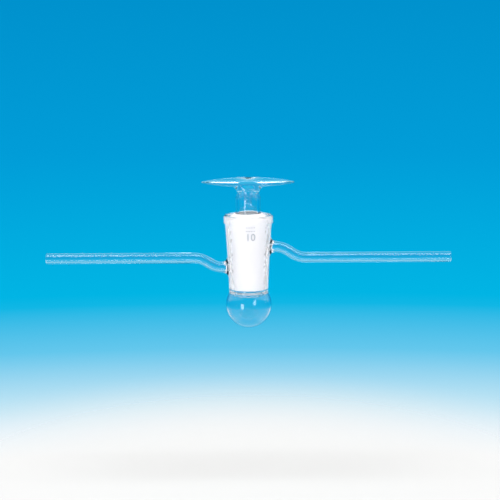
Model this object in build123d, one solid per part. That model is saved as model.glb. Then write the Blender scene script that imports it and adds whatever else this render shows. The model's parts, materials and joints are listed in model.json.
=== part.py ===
from build123d import *
import math
import os

# Two-way high-vacuum glass stopcock with an oblique bore, in millimetres.
# Frame: +Z up along the key's axis, +X along the right arm, +Y to the back.
# The origin is the lowest point of the bulb, on the key's axis.

# Bulb, sealed to the barrel's lower end
BULB_RADIUS = 17.5
BULB_WALL = 1.2
BULB_TOP_Z = 27.0
BULB_CREASE_ROUNDING = 1.6

# Ground socket: a 1:10 taper on the diameter
SOCKET_SLOPE = 0.05
SOCKET_FOOT_RADIUS = 11.6
SOCKET_TOP_Z = 82.6
SOCKET_FOOT_ROUNDING = 0.8

# Barrel wall, curving gently outwards from the bulb to the rim
BARREL_MIDDLE_RADIUS = 15.8
BARREL_MIDDLE_Z = 53.0
BARREL_TOP_RADIUS = 17.5
BARREL_TOP_Z = 79.3

# Reinforced rim
RIM_RADIUS = 18.45
RIM_FOOT_Z = 80.3
RIM_TOP_Z = 86.0
RIM_OUTER_ROUNDING = 1.7
RIM_INNER_ROUNDING = 1.4
RIM_FOOT_ROUNDING = 0.5
MOUTH_RADIUS = 15.1

# Side arms: one low and one high port, both arms bent back to one common line
ARM_RADIUS = 4.0
ARM_BORE_RADIUS = 2.5
ARM_TIP_X = 152.0
ARM_LINE_Z = 53.4
ARM_SLOPE_DEG = 33.0
ARM_BEND_RADIUS = 18.5
ARM_STUB = 3.5
ARM_TIP_ROUNDING = 0.55
LOW_PORT_Z = 46.2
HIGH_PORT_Z = 61.8
WELD_ROUNDING = 4.4
WELD_FOOT_DEPTH = 1.6

# Key: a hollow cone, ground outside, open and fire-polished at its foot
GRIND_CLEARANCE = 0.05
KEY_FOOT_Z = 25.0
KEY_WALL = 2.1
KEY_FOOT_ROUNDING = 0.8
SHOULDER_Z = 86.0
SHOULDER_ROUNDING = 4.0
NECK_RADIUS = 9.45
NECK_FOOT_Z = 87.2
NECK_TOP_Z = 98.8
NECK_ROUNDING = 1.5
STEM_RADIUS = 7.95
STEM_FOOT_Z = 102.4

# Cavity of the key: it follows the cone, the neck and the stem, and ends under the handle
CAVITY_SHOULDER_Z = 83.2
CAVITY_NECK_RADIUS = 7.5
CAVITY_NECK_FOOT_Z = 85.8
CAVITY_NECK_TOP_Z = 98.2
CAVITY_STEM_RADIUS = 6.1
CAVITY_STEM_FOOT_Z = 101.8
CAVITY_TOP_Z = 105.2
CAVITY_ROUNDING = 1.3

# Tail of solid glass that hangs from the handle into the cavity, where the two were sealed
TAIL_ROOT_RADIUS = 4.2
TAIL_TIP_RADIUS = 2.5
TAIL_TIP_Z = 94.0
TAIL_TIP_ROUNDING = 1.8

# Bore tube, sealed obliquely across the key, and the hole that evacuates the bulb
BORE_TUBE_RADIUS = 3.9
EVACUATION_RADIUS = 1.1

# T handle: a lens-shaped blade on a flared stem
HANDLE_HALF_LENGTH = 34.5
HANDLE_HALF_DEPTH = 8.0
HANDLE_HALF_THICKNESS = 3.75
HANDLE_TIP_RADIUS = 0.75
HANDLE_CENTRE_Z = 110.6
FLARE_HALF_LENGTH = 20.0
FLARE_HALF_DEPTH = 6.9
FLARE_SECTIONS = 6
FLARE_GROWTH = 2.2


def sphere_height(radius, distance):
    """Height of the bulb's upper half, of the given radius, at a distance from the axis."""
    return BULB_RADIUS + math.sqrt(radius**2 - distance**2)


SOCKET_FOOT_Z = sphere_height(BULB_RADIUS - BULB_WALL, SOCKET_FOOT_RADIUS)


def socket_radius(z):
    """Radius of the ground socket at height z."""
    return SOCKET_FOOT_RADIUS + (z - SOCKET_FOOT_Z) * SOCKET_SLOPE


def key_radius(z):
    """Radius of the key's ground cone at height z."""
    return socket_radius(z) - GRIND_CLEARANCE


def round_corners(section, roundings):
    """Fillets the corners of a section, given as (point, radius) pairs."""
    for point, radius in roundings:
        corner = section.vertices().sort_by_distance(Vector(*point))[0]
        section = fillet(corner, radius)
    return section


def barrel_shell():
    """Bulb, barrel wall and rim: one section turned about the key's axis."""
    bulb_top = (math.sqrt(BULB_RADIUS**2 - (BULB_TOP_Z - BULB_RADIUS) ** 2), BULB_TOP_Z)
    wall_middle = (BARREL_MIDDLE_RADIUS, BARREL_MIDDLE_Z)
    wall_top = (BARREL_TOP_RADIUS, BARREL_TOP_Z)
    rim_foot = (RIM_RADIUS, RIM_FOOT_Z)
    rim_edge = (RIM_RADIUS, RIM_TOP_Z)
    mouth = (MOUTH_RADIUS, RIM_TOP_Z)
    socket_top = (socket_radius(SOCKET_TOP_Z), SOCKET_TOP_Z)
    socket_foot = (SOCKET_FOOT_RADIUS, SOCKET_FOOT_Z)
    inner_radius = BULB_RADIUS - BULB_WALL
    inner_foot = (0, BULB_WALL)
    outline = [
        ThreePointArc((0, 0), (BULB_RADIUS, BULB_RADIUS), bulb_top),
        ThreePointArc(bulb_top, wall_middle, wall_top),
        Polyline(wall_top, rim_foot, rim_edge, mouth, socket_top, socket_foot),
        ThreePointArc(socket_foot, (inner_radius, BULB_RADIUS), inner_foot),
        Line(inner_foot, (0, 0)),
    ]
    roundings = [
        (bulb_top, BULB_CREASE_ROUNDING),
        (wall_top, RIM_FOOT_ROUNDING),
        (rim_foot, RIM_FOOT_ROUNDING),
        (rim_edge, RIM_OUTER_ROUNDING),
        (mouth, RIM_INNER_ROUNDING),
        (socket_foot, SOCKET_FOOT_ROUNDING),
    ]
    section = round_corners(make_face(outline), roundings)
    return revolve(Plane.YZ * section, Axis.Z)


def wall_radius(z):
    """Radius of the barrel's outer wall at height z, taken as straight between its ends."""
    share = (z - BULB_TOP_Z) / (BARREL_MIDDLE_Z - BULB_TOP_Z)
    foot = math.sqrt(BULB_RADIUS**2 - (BULB_TOP_Z - BULB_RADIUS) ** 2)
    return foot + share * (BARREL_MIDDLE_RADIUS - foot)


def arm_path(side, port_z, inner_x):
    """Centre line of an arm, from its open tip to a point inner_x from the key's axis."""
    rise = port_z - ARM_LINE_Z
    slope = math.radians(ARM_SLOPE_DEG)
    reach = ARM_BEND_RADIUS * math.tan(slope / 2)
    inner_corner = wall_radius(port_z) + ARM_STUB + reach
    outer_corner = inner_corner + abs(rise) / math.tan(slope)
    points = [
        (side * ARM_TIP_X, 0, ARM_LINE_Z),
        (side * outer_corner, 0, ARM_LINE_Z),
        (side * inner_corner, 0, port_z),
        (side * inner_x, 0, port_z),
    ]
    return FilletPolyline(*points, radius=ARM_BEND_RADIUS)


def tube(path, radius):
    """Round rod of the given radius along a path."""
    return sweep(Plane(origin=path @ 0, z_dir=path % 0) * Circle(radius), path=path)


def make_barrel():
    """The body: barrel, bulb and both arms, fused into one piece of glass."""
    body = barrel_shell()
    ports = [(-1, LOW_PORT_Z), (1, HIGH_PORT_Z)]
    for side, port_z in ports:
        inner_x = wall_radius(port_z) - WELD_FOOT_DEPTH
        body += tube(arm_path(side, port_z, inner_x), ARM_RADIUS)
    for side, port_z in ports:
        root = Vector(side * wall_radius(port_z), 0, port_z)
        weld = body.edges().filter_by(lambda e: e.is_closed).sort_by_distance(root)[0]
        body = fillet(weld, WELD_ROUNDING)
    for side, port_z in ports:
        inner_x = socket_radius(port_z) - ARM_RADIUS
        body -= tube(arm_path(side, port_z, inner_x), ARM_BORE_RADIUS)
    tips = [e for e in body.edges() if abs(abs(e.center().X) - ARM_TIP_X) < ARM_TIP_ROUNDING]
    return fillet(tips, ARM_TIP_ROUNDING)


def key_outer():
    """Solid ground cone, shoulder and neck: one section turned about the key's axis."""
    foot = (key_radius(KEY_FOOT_Z), KEY_FOOT_Z)
    shoulder = (key_radius(SHOULDER_Z), SHOULDER_Z)
    neck_foot = (NECK_RADIUS, NECK_FOOT_Z)
    neck_top = (NECK_RADIUS, NECK_TOP_Z)
    stem_foot = (STEM_RADIUS, STEM_FOOT_Z)
    axis_foot = (0, KEY_FOOT_Z)
    axis_top = (0, STEM_FOOT_Z)
    outline = Polyline(axis_foot, foot, shoulder, neck_foot, neck_top, stem_foot, axis_top, axis_foot)
    roundings = [
        (foot, KEY_FOOT_ROUNDING),
        (shoulder, SHOULDER_ROUNDING),
        (neck_foot, NECK_ROUNDING),
        (neck_top, NECK_ROUNDING),
    ]
    section = round_corners(make_face(outline), roundings)
    return revolve(Plane.YZ * section, Axis.Z)


def key_cavity():
    """Space inside the key, from its open foot to the top of the stem."""
    foot = (key_radius(KEY_FOOT_Z) - KEY_WALL, KEY_FOOT_Z)
    shoulder = (key_radius(CAVITY_SHOULDER_Z) - KEY_WALL, CAVITY_SHOULDER_Z)
    neck_foot = (CAVITY_NECK_RADIUS, CAVITY_NECK_FOOT_Z)
    neck_top = (CAVITY_NECK_RADIUS, CAVITY_NECK_TOP_Z)
    stem_foot = (CAVITY_STEM_RADIUS, CAVITY_STEM_FOOT_Z)
    stem_top = (CAVITY_STEM_RADIUS, CAVITY_TOP_Z)
    axis_foot = (0, KEY_FOOT_Z)
    axis_top = (0, CAVITY_TOP_Z)
    outline = Polyline(
        axis_foot, foot, shoulder, neck_foot, neck_top, stem_foot, stem_top, axis_top, axis_foot
    )
    roundings = [
        (shoulder, CAVITY_ROUNDING),
        (neck_foot, CAVITY_ROUNDING),
        (neck_top, CAVITY_ROUNDING),
        (stem_foot, CAVITY_ROUNDING),
        (stem_top, CAVITY_ROUNDING),
    ]
    section = round_corners(make_face(outline), roundings)
    return revolve(Plane.YZ * section, Axis.Z)


def sealing_tail():
    """Solid tail from inside the handle down into the cavity, with a rounded tip."""
    tip = (TAIL_TIP_RADIUS, TAIL_TIP_Z)
    root = (TAIL_ROOT_RADIUS, HANDLE_CENTRE_Z)
    axis_tip = (0, TAIL_TIP_Z)
    axis_root = (0, HANDLE_CENTRE_Z)
    outline = Polyline(axis_tip, tip, root, axis_root, axis_tip)
    section = round_corners(make_face(outline), [(tip, TAIL_TIP_ROUNDING)])
    return revolve(Plane.YZ * section, Axis.Z)


def oblique(radius, overshoot):
    """Rod along the bore's axis, from the low port to the high port and overshoot past both."""
    low = Vector(-key_radius(LOW_PORT_Z), 0, LOW_PORT_Z)
    high = Vector(key_radius(HIGH_PORT_Z), 0, HIGH_PORT_Z)
    along = (high - low).normalized()
    start = low - along * overshoot
    length = (high - low).length + 2 * overshoot
    return Plane(origin=start, z_dir=along) * extrude(Circle(radius), length)


def bore_tube():
    """The bore's own tube, cut off inside the key's wall at both ends."""
    foot_z = LOW_PORT_Z - 2 * BORE_TUBE_RADIUS
    top_z = HIGH_PORT_Z + 2 * BORE_TUBE_RADIUS
    middle_of_wall = KEY_WALL / 2
    section = Polyline(
        (0, foot_z),
        (key_radius(foot_z) - middle_of_wall, foot_z),
        (key_radius(top_z) - middle_of_wall, top_z),
        (0, top_z),
        (0, foot_z),
    )
    inside = revolve(Plane.YZ * make_face(section), Axis.Z)
    return oblique(BORE_TUBE_RADIUS, BORE_TUBE_RADIUS) & inside


def flared_stem():
    """Solid stem that widens along the blade as it rises into it."""
    sections = []
    for index in range(FLARE_SECTIONS):
        share = index / (FLARE_SECTIONS - 1)
        half_length = STEM_RADIUS + (FLARE_HALF_LENGTH - STEM_RADIUS) * share**FLARE_GROWTH
        half_depth = STEM_RADIUS + (FLARE_HALF_DEPTH - STEM_RADIUS) * share
        z = STEM_FOOT_Z + (HANDLE_CENTRE_Z - STEM_FOOT_Z) * share
        sections.append(Pos(0, 0, z) * Ellipse(half_length, half_depth))
    return loft(sections)


def blade():
    """Lens-shaped spindle along X, widened in depth."""
    end_x = HANDLE_HALF_LENGTH - HANDLE_TIP_RADIUS
    ball = HANDLE_TIP_RADIUS * math.sqrt(0.5)
    left = (-end_x, HANDLE_TIP_RADIUS)
    right = (end_x, HANDLE_TIP_RADIUS)
    outline = [
        ThreePointArc(left, (0, HANDLE_HALF_THICKNESS), right),
        ThreePointArc(right, (end_x + ball, ball), (HANDLE_HALF_LENGTH, 0)),
        Line((HANDLE_HALF_LENGTH, 0), (-HANDLE_HALF_LENGTH, 0)),
        ThreePointArc((-HANDLE_HALF_LENGTH, 0), (-end_x - ball, ball), left),
    ]
    spindle = revolve(make_face(outline), Axis.X)
    widened = scale(spindle, by=(1, HANDLE_HALF_DEPTH / HANDLE_HALF_THICKNESS, 1))
    return Pos(0, 0, HANDLE_CENTRE_Z) * widened


def make_key():
    """The key: ground plug, bore tube, neck and T handle, fused into one piece of glass."""
    key = key_outer() + flared_stem() + blade()
    key -= key_cavity()
    key += bore_tube()
    key += sealing_tail()
    key -= oblique(ARM_BORE_RADIUS, BORE_TUBE_RADIUS)
    hole_plane = Plane(origin=(0, 0, LOW_PORT_Z), z_dir=(1, 0, 0))
    key -= hole_plane * extrude(Circle(EVACUATION_RADIUS), BULB_RADIUS)
    foot_edge = Vector(0, key_radius(KEY_FOOT_Z) - KEY_WALL, KEY_FOOT_Z)
    inner_rim = key.edges().filter_by(GeomType.CIRCLE).sort_by_distance(foot_edge)[0]
    key = fillet(inner_rim, KEY_FOOT_ROUNDING)
    return key


def main():
    os.makedirs("parts", exist_ok=True)
    export_step(make_barrel(), "parts/barrel.step")
    export_step(make_key(), "parts/key.step")


main()
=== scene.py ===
"""Studio scene of a two-way high-vacuum glass stopcock with an oblique bore.

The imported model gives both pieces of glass, the barrel and the key, in metres. This script
gives them their finishes, adds the fired mark on the barrel, and sets the backdrop, the
lamps and the camera.
"""

from __future__ import annotations

import json
import logging
import math
from dataclasses import dataclass
from enum import Enum
from typing import Any, Sequence

import bpy
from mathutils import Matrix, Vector

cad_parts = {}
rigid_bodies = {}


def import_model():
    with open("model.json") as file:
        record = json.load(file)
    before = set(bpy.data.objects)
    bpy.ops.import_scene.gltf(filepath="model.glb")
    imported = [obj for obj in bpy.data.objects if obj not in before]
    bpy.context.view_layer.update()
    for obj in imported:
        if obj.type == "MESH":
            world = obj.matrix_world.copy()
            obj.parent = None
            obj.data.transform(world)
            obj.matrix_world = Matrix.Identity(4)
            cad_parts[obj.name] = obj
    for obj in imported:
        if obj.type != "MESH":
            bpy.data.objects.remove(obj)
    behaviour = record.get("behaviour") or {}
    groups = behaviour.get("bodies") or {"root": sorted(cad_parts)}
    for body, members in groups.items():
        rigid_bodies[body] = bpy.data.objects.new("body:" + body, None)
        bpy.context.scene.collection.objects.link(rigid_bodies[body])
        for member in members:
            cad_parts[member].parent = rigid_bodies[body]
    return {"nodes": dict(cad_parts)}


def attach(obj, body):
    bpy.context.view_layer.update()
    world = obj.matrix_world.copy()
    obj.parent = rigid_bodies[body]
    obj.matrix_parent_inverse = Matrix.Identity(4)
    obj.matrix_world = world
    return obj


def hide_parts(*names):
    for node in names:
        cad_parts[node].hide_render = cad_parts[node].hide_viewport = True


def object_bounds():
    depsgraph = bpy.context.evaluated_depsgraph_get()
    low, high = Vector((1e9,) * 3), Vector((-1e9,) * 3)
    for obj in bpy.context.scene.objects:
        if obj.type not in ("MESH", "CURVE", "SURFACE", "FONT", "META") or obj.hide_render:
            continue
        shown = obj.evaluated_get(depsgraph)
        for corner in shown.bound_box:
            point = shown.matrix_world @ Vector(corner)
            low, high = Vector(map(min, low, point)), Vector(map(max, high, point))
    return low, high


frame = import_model()
CAD_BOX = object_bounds()

LOG = logging.getLogger("stopcock")
MM = 0.001
WELD_GAP = 0.002 * MM


class Body(Enum):
    """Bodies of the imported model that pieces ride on."""

    BODY = "body"
    KEY = "key"


class Slot(Enum):
    """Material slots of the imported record."""

    BARREL_GLASS = "borosilicate_glass"
    KEY_GLASS = "key_glass"


def linear(hex_colour: str) -> tuple[float, float, float, float]:
    """Turn an sRGB hex colour into linear RGBA.

    Args:
        hex_colour: six hex digits, with or without a leading hash.

    Returns:
        Linear red, green, blue and an alpha of 1.
    """
    digits = hex_colour.lstrip("#")
    channels = [int(digits[i : i + 2], 16) / 255 for i in (0, 2, 4)]
    curved = [c / 12.92 if c <= 0.04045 else ((c + 0.055) / 1.055) ** 2.4 for c in channels]
    return curved[0], curved[1], curved[2], 1.0


def add_node(
    tree: bpy.types.NodeTree,
    kind: str,
    settings: dict[str, Any] | None = None,
    inputs: dict[str | int, Any] | None = None,
) -> bpy.types.Node:
    """Add one node, set its properties, and set or link its inputs.

    Args:
        tree: the node tree to add to.
        kind: the node's type name.
        settings: properties of the node, by name.
        inputs: values or output sockets, by the input's name or number.

    Returns:
        The new node.
    """
    node = tree.nodes.new(kind)
    for name, value in (settings or {}).items():
        setattr(node, name, value)
    for name, value in (inputs or {}).items():
        if isinstance(value, bpy.types.NodeSocket):
            tree.links.new(value, node.inputs[name])
        else:
            node.inputs[name].default_value = value
    return node


def maths(tree: bpy.types.NodeTree, operation: str, *values: Any) -> bpy.types.NodeSocket:
    """Add a Math node.

    Args:
        tree: the node tree to add to.
        operation: the node's operation.
        values: numbers or sockets, in the order of the node's inputs.

    Returns:
        The result's socket.
    """
    node = add_node(tree, "ShaderNodeMath", {"operation": operation}, dict(enumerate(values)))
    return node.outputs[0]


def ramp(
    tree: bpy.types.NodeTree, value: Any, low: float, high: float, to_low: float, to_high: float
) -> bpy.types.NodeSocket:
    """Map a value smoothly from one range to another.

    Args:
        tree: the node tree to add to.
        value: the socket to map.
        low: where the smooth step starts.
        high: where it ends.
        to_low: the result at the start.
        to_high: the result at the end.

    Returns:
        The mapped value's socket.
    """
    inputs = {0: value, 1: low, 2: high, 3: to_low, 4: to_high}
    node = add_node(tree, "ShaderNodeMapRange", {"interpolation_type": "SMOOTHSTEP"}, inputs)
    return node.outputs[0]


@dataclass(frozen=True)
class GroundZone:
    """The band of a taper that was ground with emery, in metres.

    The band is a cone about the key's axis: radius is its radius at height foot, slope its
    growth per height, inner and outer how far from it a surface still counts as ground.
    """

    radius: float
    slope: float
    foot: float
    top: float
    inner: float
    outer: float
    edge: float = 0.35 * MM

    def mask(self, tree: bpy.types.NodeTree, place: bpy.types.NodeSocket) -> bpy.types.NodeSocket:
        """Build a mask that is 1 on the ground band and 0 elsewhere.

        Args:
            tree: the node tree to add to.
            place: the Object coordinates.

        Returns:
            The mask's socket.
        """
        axes = add_node(tree, "ShaderNodeSeparateXYZ", inputs={0: place})
        height = axes.outputs[2]
        across = maths(tree, "MULTIPLY", axes.outputs[0], axes.outputs[0])
        across = maths(tree, "MULTIPLY_ADD", axes.outputs[1], axes.outputs[1], across)
        distance = maths(tree, "SQRT", across)
        cone = maths(tree, "MULTIPLY_ADD", height, self.slope, self.radius - self.foot * self.slope)
        proud = maths(tree, "SUBTRACT", distance, cone)
        within = maths(tree, "GREATER_THAN", proud, -self.inner)
        without = maths(tree, "LESS_THAN", proud, self.outer)
        waver = add_node(
            tree,
            "ShaderNodeTexNoise",
            inputs={"Vector": place, "Scale": 1 / (5 * MM), "Detail": 3.0},
        )
        wavy = maths(tree, "MULTIPLY_ADD", waver.outputs[0], 2 * self.edge, height)
        above = ramp(tree, wavy, self.foot, self.foot + 2 * self.edge, 0.0, 1.0)
        below = ramp(tree, wavy, self.top, self.top + 2 * self.edge, 1.0, 0.0)
        band = maths(tree, "MULTIPLY", above, below)
        return maths(tree, "MULTIPLY", maths(tree, "MULTIPLY", within, without), band)


@dataclass(frozen=True)
class BorosilicateGlass:
    """Borosilicate glass: drawn and flame-worked clear, ground white on its taper."""

    name: str
    zones: tuple[GroundZone, ...]
    ior: float = 1.474
    tint: str = "#F9FCFD"
    ground_tint: str = "#F7F8FB"
    clear_roughness: float = 0.0
    ground_roughness: float = 0.55
    ground_clearness: float = 0.15
    grit: float = 0.5 * MM
    lapping: float = 1.6 * MM
    waviness: float = 14 * MM
    wave_depth: float = 0.001 * MM

    def material(self) -> bpy.types.Material:
        """Build the glass's material.

        Returns:
            The material, named for this piece.
        """
        material = bpy.data.materials.new(self.name)
        material.use_nodes = True
        tree = material.node_tree
        tree.nodes.clear()
        place = add_node(tree, "ShaderNodeTexCoord").outputs["Object"]
        masks = [zone.mask(tree, place) for zone in self.zones]
        mask = masks[0]
        for other in masks[1:]:
            mask = maths(tree, "MAXIMUM", mask, other)
        cloud = self.cloud(tree, place)
        white = maths(tree, "MULTIPLY", mask, cloud)
        clearness = ramp(tree, white, 0.0, 1.0, 1.0, self.ground_clearness)
        roughness = ramp(tree, mask, 0.0, 1.0, self.clear_roughness, self.ground_roughness)
        colour = add_node(
            tree,
            "ShaderNodeMix",
            {"data_type": "RGBA"},
            {0: mask, 6: linear(self.tint), 7: linear(self.ground_tint)},
        )
        shader = add_node(
            tree,
            "ShaderNodeBsdfPrincipled",
            inputs={
                "Base Color": colour.outputs[2],
                "Roughness": roughness,
                "IOR": self.ior,
                "Transmission Weight": clearness,
                "Normal": self.relief(tree, place, mask),
            },
        )
        add_node(tree, "ShaderNodeOutputMaterial", inputs={"Surface": shader.outputs[0]})
        return material

    def cloud(self, tree: bpy.types.NodeTree, place: bpy.types.NodeSocket) -> bpy.types.NodeSocket:
        """Faint rings that lapping leaves, as the key is turned in the socket.

        Args:
            tree: the node tree to add to.
            place: the Object coordinates.

        Returns:
            The socket of how white the ground is, at most 1.
        """
        turned = add_node(
            tree,
            "ShaderNodeMapping",
            inputs={"Vector": place, "Scale": (0.12, 0.12, 1.0)},
        )
        rings = add_node(
            tree,
            "ShaderNodeTexNoise",
            inputs={"Vector": turned.outputs[0], "Scale": 1 / self.lapping, "Detail": 4.0},
        )
        return ramp(tree, rings.outputs[0], 0.2, 0.6, 0.86, 1.0)

    def relief(
        self, tree: bpy.types.NodeTree, place: bpy.types.NodeSocket, mask: bpy.types.NodeSocket
    ) -> bpy.types.NodeSocket:
        """Bump of the surface: grit where it is ground, and the slow waves of flame-worked glass.

        The emery's grit is about 0.03 mm, too fine to show, so it is drawn coarser.

        Args:
            tree: the node tree to add to.
            place: the Object coordinates.
            mask: 1 on ground glass and 0 elsewhere.

        Returns:
            The normal's socket.
        """
        grit = add_node(
            tree,
            "ShaderNodeTexNoise",
            inputs={"Vector": place, "Scale": 1 / self.grit, "Detail": 2.0},
        )
        grain = maths(tree, "MULTIPLY", grit.outputs[0], mask)
        wave = add_node(
            tree,
            "ShaderNodeTexNoise",
            inputs={"Vector": place, "Scale": 1 / self.waviness, "Detail": 1.0},
        )
        waves = add_node(
            tree,
            "ShaderNodeBump",
            inputs={"Strength": 1.0, "Distance": self.wave_depth, "Height": wave.outputs[0]},
        )
        bump = add_node(
            tree,
            "ShaderNodeBump",
            inputs={
                "Strength": 0.35,
                "Distance": 0.05 * MM,
                "Height": grain,
                "Normal": waves.outputs[0],
            },
        )
        return bump.outputs[0]


@dataclass(frozen=True)
class Barrel:
    """The body: barrel, bulb and both arms, one piece of glass."""

    node: str = "barrel"
    socket: GroundZone = GroundZone(
        radius=11.65 * MM,
        slope=0.05,
        foot=30.0 * MM,
        top=82.7 * MM,
        inner=0.5 * MM,
        outer=2.2 * MM,
    )
    mouth: GroundZone = GroundZone(
        radius=14.33 * MM,
        slope=0.226,
        foot=82.3 * MM,
        top=85.5 * MM,
        inner=0.4 * MM,
        outer=1.2 * MM,
    )

    def dress(self) -> None:
        """Give the barrel its glass, ground white inside the socket and its mouth."""
        glass = BorosilicateGlass(
            "borosilicate barrel, clear and ground", (self.socket, self.mouth), ground_clearness=0.8
        )
        piece = smooth_glass(self.node, "barrel_glass", self.cuts())
        stand_in(piece, self.node, Body.BODY, glass.material())

    def cuts(self) -> list[tuple[int, float, float, float]]:
        """Planes across both arms and up the barrel wall.

        Returns:
            Rows of planes, as smooth_glass takes them.
        """
        return [
            (0, -148 * MM, -44 * MM, 4 * MM),
            (0, 44 * MM, 148 * MM, 4 * MM),
            (2, 30 * MM, 84 * MM, 3 * MM),
        ]


@dataclass(frozen=True)
class Key:
    """The key: hollow plug, neck and T handle, one piece of glass."""

    node: str = "key"
    cone: GroundZone = GroundZone(
        radius=11.61 * MM,
        slope=0.05,
        foot=30.2 * MM,
        top=82.8 * MM,
        inner=0.25 * MM,
        outer=0.5 * MM,
    )
    shoulder: GroundZone = GroundZone(
        radius=14.30 * MM,
        slope=-1.04,
        foot=82.6 * MM,
        top=87.4 * MM,
        inner=0.3 * MM,
        outer=3.0 * MM,
    )

    def dress(self) -> None:
        """Give the key its glass, ground white on the cone and up over the shoulder."""
        glass = BorosilicateGlass("borosilicate key, clear and ground", (self.cone, self.shoulder))
        piece = smooth_glass(self.node, "key_glass", self.cuts())
        stand_in(piece, self.node, Body.KEY, glass.material())

    def cuts(self) -> list[tuple[int, float, float, float]]:
        """Planes up the cone and along the handle.

        Returns:
            Rows of planes, as smooth_glass takes them.
        """
        return [(2, 28 * MM, 82 * MM, 3 * MM), (0, -33 * MM, 33 * MM, 3 * MM)]


def smooth_glass(
    node: str, name: str, cuts: Sequence[tuple[int, float, float, float]]
) -> bpy.types.Object:
    """Copy a CAD node as one welded skin, cut into short facets so that it shades evenly.

    Args:
        node: the CAD node to copy.
        name: the new piece's name.
        cuts: rows of planes to cut along, as (axis number, first place, last place, step).

    Returns:
        The new piece, smooth except at its edges.
    """
    bpy.ops.object.select_all(action="DESELECT")
    piece = bpy.data.objects.new(name, frame["nodes"][node].data.copy())
    bpy.context.scene.collection.objects.link(piece)
    bpy.context.view_layer.objects.active = piece
    piece.select_set(True)
    bpy.ops.mesh.customdata_custom_splitnormals_clear()
    bpy.ops.object.mode_set(mode="EDIT")
    bpy.ops.mesh.select_all(action="SELECT")
    bpy.ops.mesh.remove_doubles(threshold=WELD_GAP)
    for axis, first, last, step in cuts:
        normal = [float(axis == number) for number in range(3)]
        for index in range(round((last - first) / step) + 1):
            place = [(first + index * step) * share for share in normal]
            bpy.ops.mesh.select_all(action="SELECT")
            bpy.ops.mesh.bisect(plane_co=place, plane_no=normal)
    bpy.ops.mesh.select_all(action="DESELECT")
    bpy.ops.object.mode_set(mode="OBJECT")
    bpy.ops.object.shade_smooth_by_angle(angle=math.radians(35.0))
    LOG.info("%s: %d faces", name, len(piece.data.polygons))
    return piece


def stand_in(
    piece: bpy.types.Object, node: str, body: Body, material: bpy.types.Material
) -> None:
    """Let a finished piece stand for a CAD node, on its body and with its finish.

    Args:
        piece: the finished piece.
        node: the CAD node it stands for.
        body: the body it rides on.
        material: its finish.
    """
    piece.data.materials.clear()
    piece.data.materials.append(material)
    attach(piece, body.value)
    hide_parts(node)
    LOG.info("%s stands for %s, dressed with %s", piece.name, node, material.name)


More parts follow.
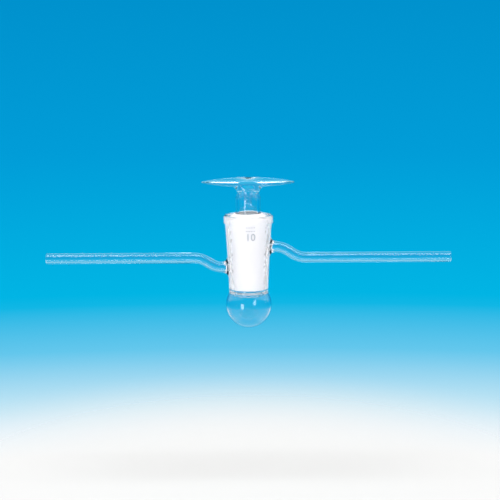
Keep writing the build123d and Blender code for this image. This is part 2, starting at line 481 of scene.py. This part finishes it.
@dataclass(frozen=True)
class EnamelMark:
    """Pale fired enamel on the front of the barrel: two dashed rows over a plain number."""

    centre: float = 1.6 * MM
    width: float = 7.4 * MM
    row_heights: tuple[float, ...] = (78.5 * MM, 75.9 * MM)
    dashes: int = 4
    dash_height: float = 0.55 * MM
    number: str = "10"
    number_size: float = 7.6 * MM
    number_foot: float = 69.0 * MM
    standoff: float = 0.02 * MM
    strip: float = 0.5 * MM
    colour: str = "#B6C0CA"

    def dress(self) -> None:
        """Build the print, wrap it round the barrel wall and fire it on."""
        parts = [self.digits()] + [self.row(height) for height in self.row_heights]
        bpy.ops.object.select_all(action="DESELECT")
        for part in parts:
            part.select_set(True)
        bpy.context.view_layer.objects.active = parts[0]
        bpy.ops.object.join()
        mark = parts[0]
        mark.name = "enamel_mark"
        self.wrap(mark)
        enamel = bpy.data.materials.new("fired enamel")
        enamel.use_nodes = True
        tree = enamel.node_tree
        tree.nodes.clear()
        shader = add_node(
            tree,
            "ShaderNodeBsdfPrincipled",
            inputs={"Base Color": linear(self.colour), "Roughness": 0.45},
        )
        add_node(tree, "ShaderNodeOutputMaterial", inputs={"Surface": shader.outputs[0]})
        mark.data.materials.clear()
        mark.data.materials.append(enamel)
        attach(mark, Body.BODY.value)

    def digits(self) -> bpy.types.Object:
        """Draw the number as a flat mesh in the XZ plane.

        Returns:
            The number.
        """
        bpy.ops.object.select_all(action="DESELECT")
        bpy.ops.object.text_add()
        text = bpy.context.object
        text.data.body = self.number
        text.data.size = self.number_size
        text.data.align_x = "CENTER"
        bpy.ops.object.convert(target="MESH")
        mesh = bpy.context.object.data
        for vertex in mesh.vertices:
            across, up = vertex.co.x, vertex.co.y
            vertex.co = Vector((across + self.centre, 0.0, up + self.number_foot))
        return bpy.context.object

    def row(self, height: float) -> bpy.types.Object:
        """Draw one row of dashes as flat quads in the XZ plane.

        Args:
            height: the height of the row's foot.

        Returns:
            The row.
        """
        pitch = self.width / self.dashes
        corners, faces = [], []
        for index in range(self.dashes):
            left = self.centre - self.width / 2 + (index + 0.2) * pitch
            right = left + 0.6 * pitch
            first = len(corners)
            corners += [(left, 0, height), (right, 0, height)]
            corners += [(right, 0, height + self.dash_height), (left, 0, height + self.dash_height)]
            faces.append((first, first + 1, first + 2, first + 3))
        mesh = bpy.data.meshes.new("dashes")
        mesh.from_pydata(corners, [], faces)
        row = bpy.data.objects.new("dashes", mesh)
        bpy.context.scene.collection.objects.link(row)
        return row

    def wrap(self, piece: bpy.types.Object) -> None:
        """Cut a flat print into narrow strips and lay it on the barrel's wall.

        Args:
            piece: the flat print, in the XZ plane.
        """
        bpy.ops.object.mode_set(mode="EDIT")
        count = round(self.width / self.strip)
        for index in range(count + 1):
            place = (self.centre - self.width / 2 + index * self.strip, 0, 0)
            bpy.ops.mesh.select_all(action="SELECT")
            bpy.ops.mesh.bisect(plane_co=place, plane_no=(1, 0, 0))
        bpy.ops.object.mode_set(mode="OBJECT")
        for vertex in piece.data.vertices:
            across, up = vertex.co.x, vertex.co.z
            wall = self.wall_radius(up) + self.standoff
            vertex.co.y = -math.sqrt(wall**2 - across**2)

    def wall_radius(self, height: float) -> float:
        """Radius of the barrel's outer wall, an arc through three points of its profile.

        Args:
            height: the height up the barrel.

        Returns:
            The radius there.
        """
        low, middle, high = (14.676 * MM, 27.0 * MM), (15.8 * MM, 53.0 * MM), (17.5 * MM, 79.3 * MM)
        (r0, z0), (r1, z1), (r2, z2) = low, middle, high
        first = r0 * (height - z1) * (height - z2) / ((z0 - z1) * (z0 - z2))
        second = r1 * (height - z0) * (height - z2) / ((z1 - z0) * (z1 - z2))
        third = r2 * (height - z0) * (height - z1) / ((z2 - z0) * (z2 - z1))
        return first + second + third


@dataclass(frozen=True)
class Floor:
    """A pale disc of laminate under the hanging stopcock, faded out into the backdrop."""

    height: float = -120 * MM
    radius: float = 500 * MM
    fade_from: float = 70 * MM
    fade_to: float = 330 * MM
    colour: str = "#D6DCDE"
    through_glass: float = 0.08

    def build(self) -> None:
        """Add the disc and its finish."""
        bpy.ops.object.select_all(action="DESELECT")
        bpy.ops.mesh.primitive_circle_add(
            vertices=96, radius=self.radius, fill_type="NGON", location=(0, 0, self.height)
        )
        disc = bpy.context.object
        disc.name = "floor"
        laminate = bpy.data.materials.new("pale laminate floor")
        laminate.use_nodes = True
        tree = laminate.node_tree
        tree.nodes.clear()
        place = add_node(tree, "ShaderNodeTexCoord").outputs["Object"]
        axes = add_node(tree, "ShaderNodeSeparateXYZ", inputs={0: place})
        across = maths(tree, "MULTIPLY", axes.outputs[0], axes.outputs[0])
        across = maths(tree, "MULTIPLY_ADD", axes.outputs[1], axes.outputs[1], across)
        distance = maths(tree, "SQRT", across)
        share = ramp(tree, distance, self.fade_from, self.fade_to, 1.0, 0.0)
        ray = add_node(tree, "ShaderNodeLightPath").outputs
        glassy = maths(tree, "MAXIMUM", ray["Is Glossy Ray"], ray["Is Transmission Ray"])
        weight = maths(tree, "MULTIPLY_ADD", glassy, self.through_glass - 1.0, 1.0)
        share = maths(tree, "MULTIPLY", share, weight)
        clear = add_node(tree, "ShaderNodeBsdfTransparent")
        pale = add_node(tree, "ShaderNodeBsdfDiffuse", inputs={"Color": linear(self.colour)})
        mixed = add_node(
            tree, "ShaderNodeMixShader", inputs={0: share, 1: clear.outputs[0], 2: pale.outputs[0]}
        )
        add_node(tree, "ShaderNodeOutputMaterial", inputs={"Surface": mixed.outputs[0]})
        disc.data.materials.append(laminate)


@dataclass(frozen=True)
class Sky:
    """Graduated backdrop: white below, blue from the middle up, the same all the way round.

    It is what the eye sees directly and in the glass. A blue sheet hangs behind the stopcock,
    and the glass gathers it from further down than the eye does. Matt surfaces are lit by the
    studio's plain pale walls instead, so that they keep their own colours.
    """

    seen: tuple[tuple[float, str], ...] = (
        (-23.0, "#FDFDFD"),
        (-18.2, "#FDFDFD"),
        (-17.2, "#E6F3FB"),
        (-16.2, "#C2E6F5"),
        (-14.1, "#66C8ED"),
        (-12.1, "#01B6E5"),
        (-6.0, "#019DD8"),
        (1.0, "#0090CC"),
        (15.0, "#3CB6E4"),
        (45.0, "#8CD2EE"),
    )
    through_glass: tuple[tuple[float, str], ...] = (
        (-60.0, "#8CD2EE"),
        (-35.0, "#50BEE8"),
        (-20.0, "#3CB9E7"),
        (-14.1, "#36B9E7"),
        (-12.1, "#14B6E6"),
        (-6.0, "#0CA2DA"),
        (1.0, "#1E9FD6"),
        (15.0, "#3CB6E4"),
        (60.0, "#52C0EA"),
    )
    plain: str = "#FBF2EE"
    per_wall: float = 0.405
    sheet_edges: tuple[float, float] = (0.32, 0.58)
    lowest: float = -90.0
    highest: float = 90.0

    def share(self, elevation: float) -> float:
        """Place of an elevation on the colour ramp, which runs over its sine.

        Args:
            elevation: the elevation in degrees.

        Returns:
            Its place, from 0 to 1.
        """
        low, high = (math.sin(math.radians(angle)) for angle in (self.lowest, self.highest))
        return (math.sin(math.radians(elevation)) - low) / (high - low)

    def colours(
        self,
        tree: bpy.types.NodeTree,
        height: bpy.types.NodeSocket,
        stops: Sequence[tuple[float, str]],
    ) -> bpy.types.NodeSocket:
        """Colour ramp over the sine of the elevation.

        Args:
            tree: the world's node tree.
            height: the sine of a direction's elevation.
            stops: elevations in degrees and their colours, lowest first.

        Returns:
            The ramp's colour socket.
        """
        low, high = (math.sin(math.radians(angle)) for angle in (self.lowest, self.highest))
        place = add_node(tree, "ShaderNodeMapRange", inputs={0: height, 1: low, 2: high})
        node = add_node(tree, "ShaderNodeValToRGB", inputs={0: place.outputs[0]})
        elements = node.color_ramp.elements
        while len(elements) < len(stops):
            elements.new(0.5)
        for element, (elevation, colour) in zip(elements, stops):
            element.position = self.share(elevation)
            element.color = linear(colour)
        return node.outputs[0]

    def build(self) -> None:
        """Make the world's shader."""
        world = bpy.data.worlds.new("studio")
        bpy.context.scene.world = world
        world.use_nodes = True
        tree = world.node_tree
        tree.nodes.clear()
        direction = add_node(tree, "ShaderNodeTexCoord").outputs["Generated"]
        axes = add_node(tree, "ShaderNodeSeparateXYZ", inputs={0: direction}).outputs
        height = axes[2]
        ray = add_node(tree, "ShaderNodeLightPath").outputs
        glassy = maths(tree, "MAXIMUM", ray["Is Glossy Ray"], ray["Is Transmission Ray"])
        mirrored = maths(tree, "SUBTRACT", ray["Is Glossy Ray"], ray["Is Transmission Ray"])
        sheet = ramp(tree, maths(tree, "ABSOLUTE", axes[0]), *self.sheet_edges, 1.0, 0.0)
        sheet = maths(tree, "MULTIPLY", sheet, ray["Is Transmission Ray"])
        gathered = maths(tree, "MAXIMUM", mirrored, sheet)
        matt = maths(tree, "MINIMUM", ray["Diffuse Depth"], 1.0)
        shown = maths(tree, "MAXIMUM", ray["Is Camera Ray"], glassy)
        shown = maths(tree, "MULTIPLY", shown, maths(tree, "SUBTRACT", 1.0, matt))
        backdrop = add_node(
            tree,
            "ShaderNodeMix",
            {"data_type": "RGBA"},
            {
                0: gathered,
                6: self.colours(tree, height, self.seen),
                7: self.colours(tree, height, self.through_glass),
            },
        )
        colour = add_node(
            tree,
            "ShaderNodeMix",
            {"data_type": "RGBA"},
            {0: shown, 6: linear(self.plain), 7: backdrop.outputs[2]},
        )
        walls = maths(tree, "MINIMUM", ray["Transmission Depth"], 8.0)
        walls = maths(tree, "MULTIPLY", matt, walls)
        strength = maths(tree, "MULTIPLY_ADD", walls, self.per_wall, 1.0)
        light = add_node(
            tree, "ShaderNodeBackground", inputs={"Color": colour.outputs[2], "Strength": strength}
        )
        add_node(tree, "ShaderNodeOutputWorld", inputs={"Surface": light.outputs[0]})


@dataclass(frozen=True)
class SoftBox:
    """One soft box: a rectangular lamp that faces the stopcock."""

    name: str
    azimuth: float
    elevation: float
    distance: float
    width: float
    height: float
    power: float
    colour: str = "#FFFFFF"

    def build(self, target: Vector) -> None:
        """Add the lamp, aimed at the target.

        Args:
            target: the place it faces.
        """
        lamp = bpy.data.lights.new(self.name, "AREA")
        lamp.shape = "RECTANGLE"
        lamp.size = self.width
        lamp.size_y = self.height
        lamp.energy = self.power
        lamp.color = linear(self.colour)[:3]
        rig = bpy.data.objects.new(self.name, lamp)
        bpy.context.scene.collection.objects.link(rig)
        turn, lift = math.radians(self.azimuth), math.radians(self.elevation)
        level = Vector((math.sin(turn), -math.cos(turn), 0.0))
        away = level * math.cos(lift) + Vector((0.0, 0.0, math.sin(lift)))
        rig.location = target + away * self.distance
        rig.rotation_euler = away.to_track_quat("Z", "Y").to_euler()
        rig.visible_camera = False


@dataclass(frozen=True)
class StudioCamera:
    """A long lens, a little above the arms, looking at the front of the barrel."""

    lens_mm: float = 100.0
    elevation: float = 10.0
    distance: float = 1.0426
    aim: tuple[float, float, float] = (2.22 * MM, 0.0, 59.26 * MM)
    roll: float = 0.34

    def build(self) -> None:
        """Add the camera and make it the scene's own."""
        data = bpy.data.cameras.new("studio camera")
        data.lens = self.lens_mm
        data.sensor_width = 36.0
        camera = bpy.data.objects.new("studio camera", data)
        bpy.context.scene.collection.objects.link(camera)
        lift = math.radians(self.elevation)
        back = Vector((0.0, -math.cos(lift), math.sin(lift)))
        camera.location = Vector(self.aim) + back * self.distance
        camera.rotation_euler = (math.radians(90.0 - self.elevation), math.radians(self.roll), 0.0)
        bpy.context.scene.camera = camera


def main() -> None:
    """Dress both pieces, then build the backdrop, the lamps and the camera."""
    logging.basicConfig(level=logging.INFO, format="%(name)s: %(message)s")
    bpy.ops.object.select_all(action="DESELECT")
    for obj in [o for o in bpy.data.objects if o.type in {"CAMERA", "LIGHT"} or o.name == "Cube"]:
        bpy.data.objects.remove(obj)
    Barrel().dress()
    Key().dress()
    EnamelMark().dress()
    Floor().build()
    Sky().build()
    target = (CAD_BOX[0] + CAD_BOX[1]) / 2
    boxes = (
        SoftBox("overhead soft box", 0.0, 80.0, 0.9, 1.6, 0.35, 7.0),
        SoftBox("strip soft box", -32.0, -2.0, 1.2, 0.30, 0.55, 2.4),
    )
    for box in boxes:
        box.build(target)
    StudioCamera().build()
    view = bpy.context.scene.view_settings
    view.view_transform = "Standard"


if __name__ == "__main__":
    main()
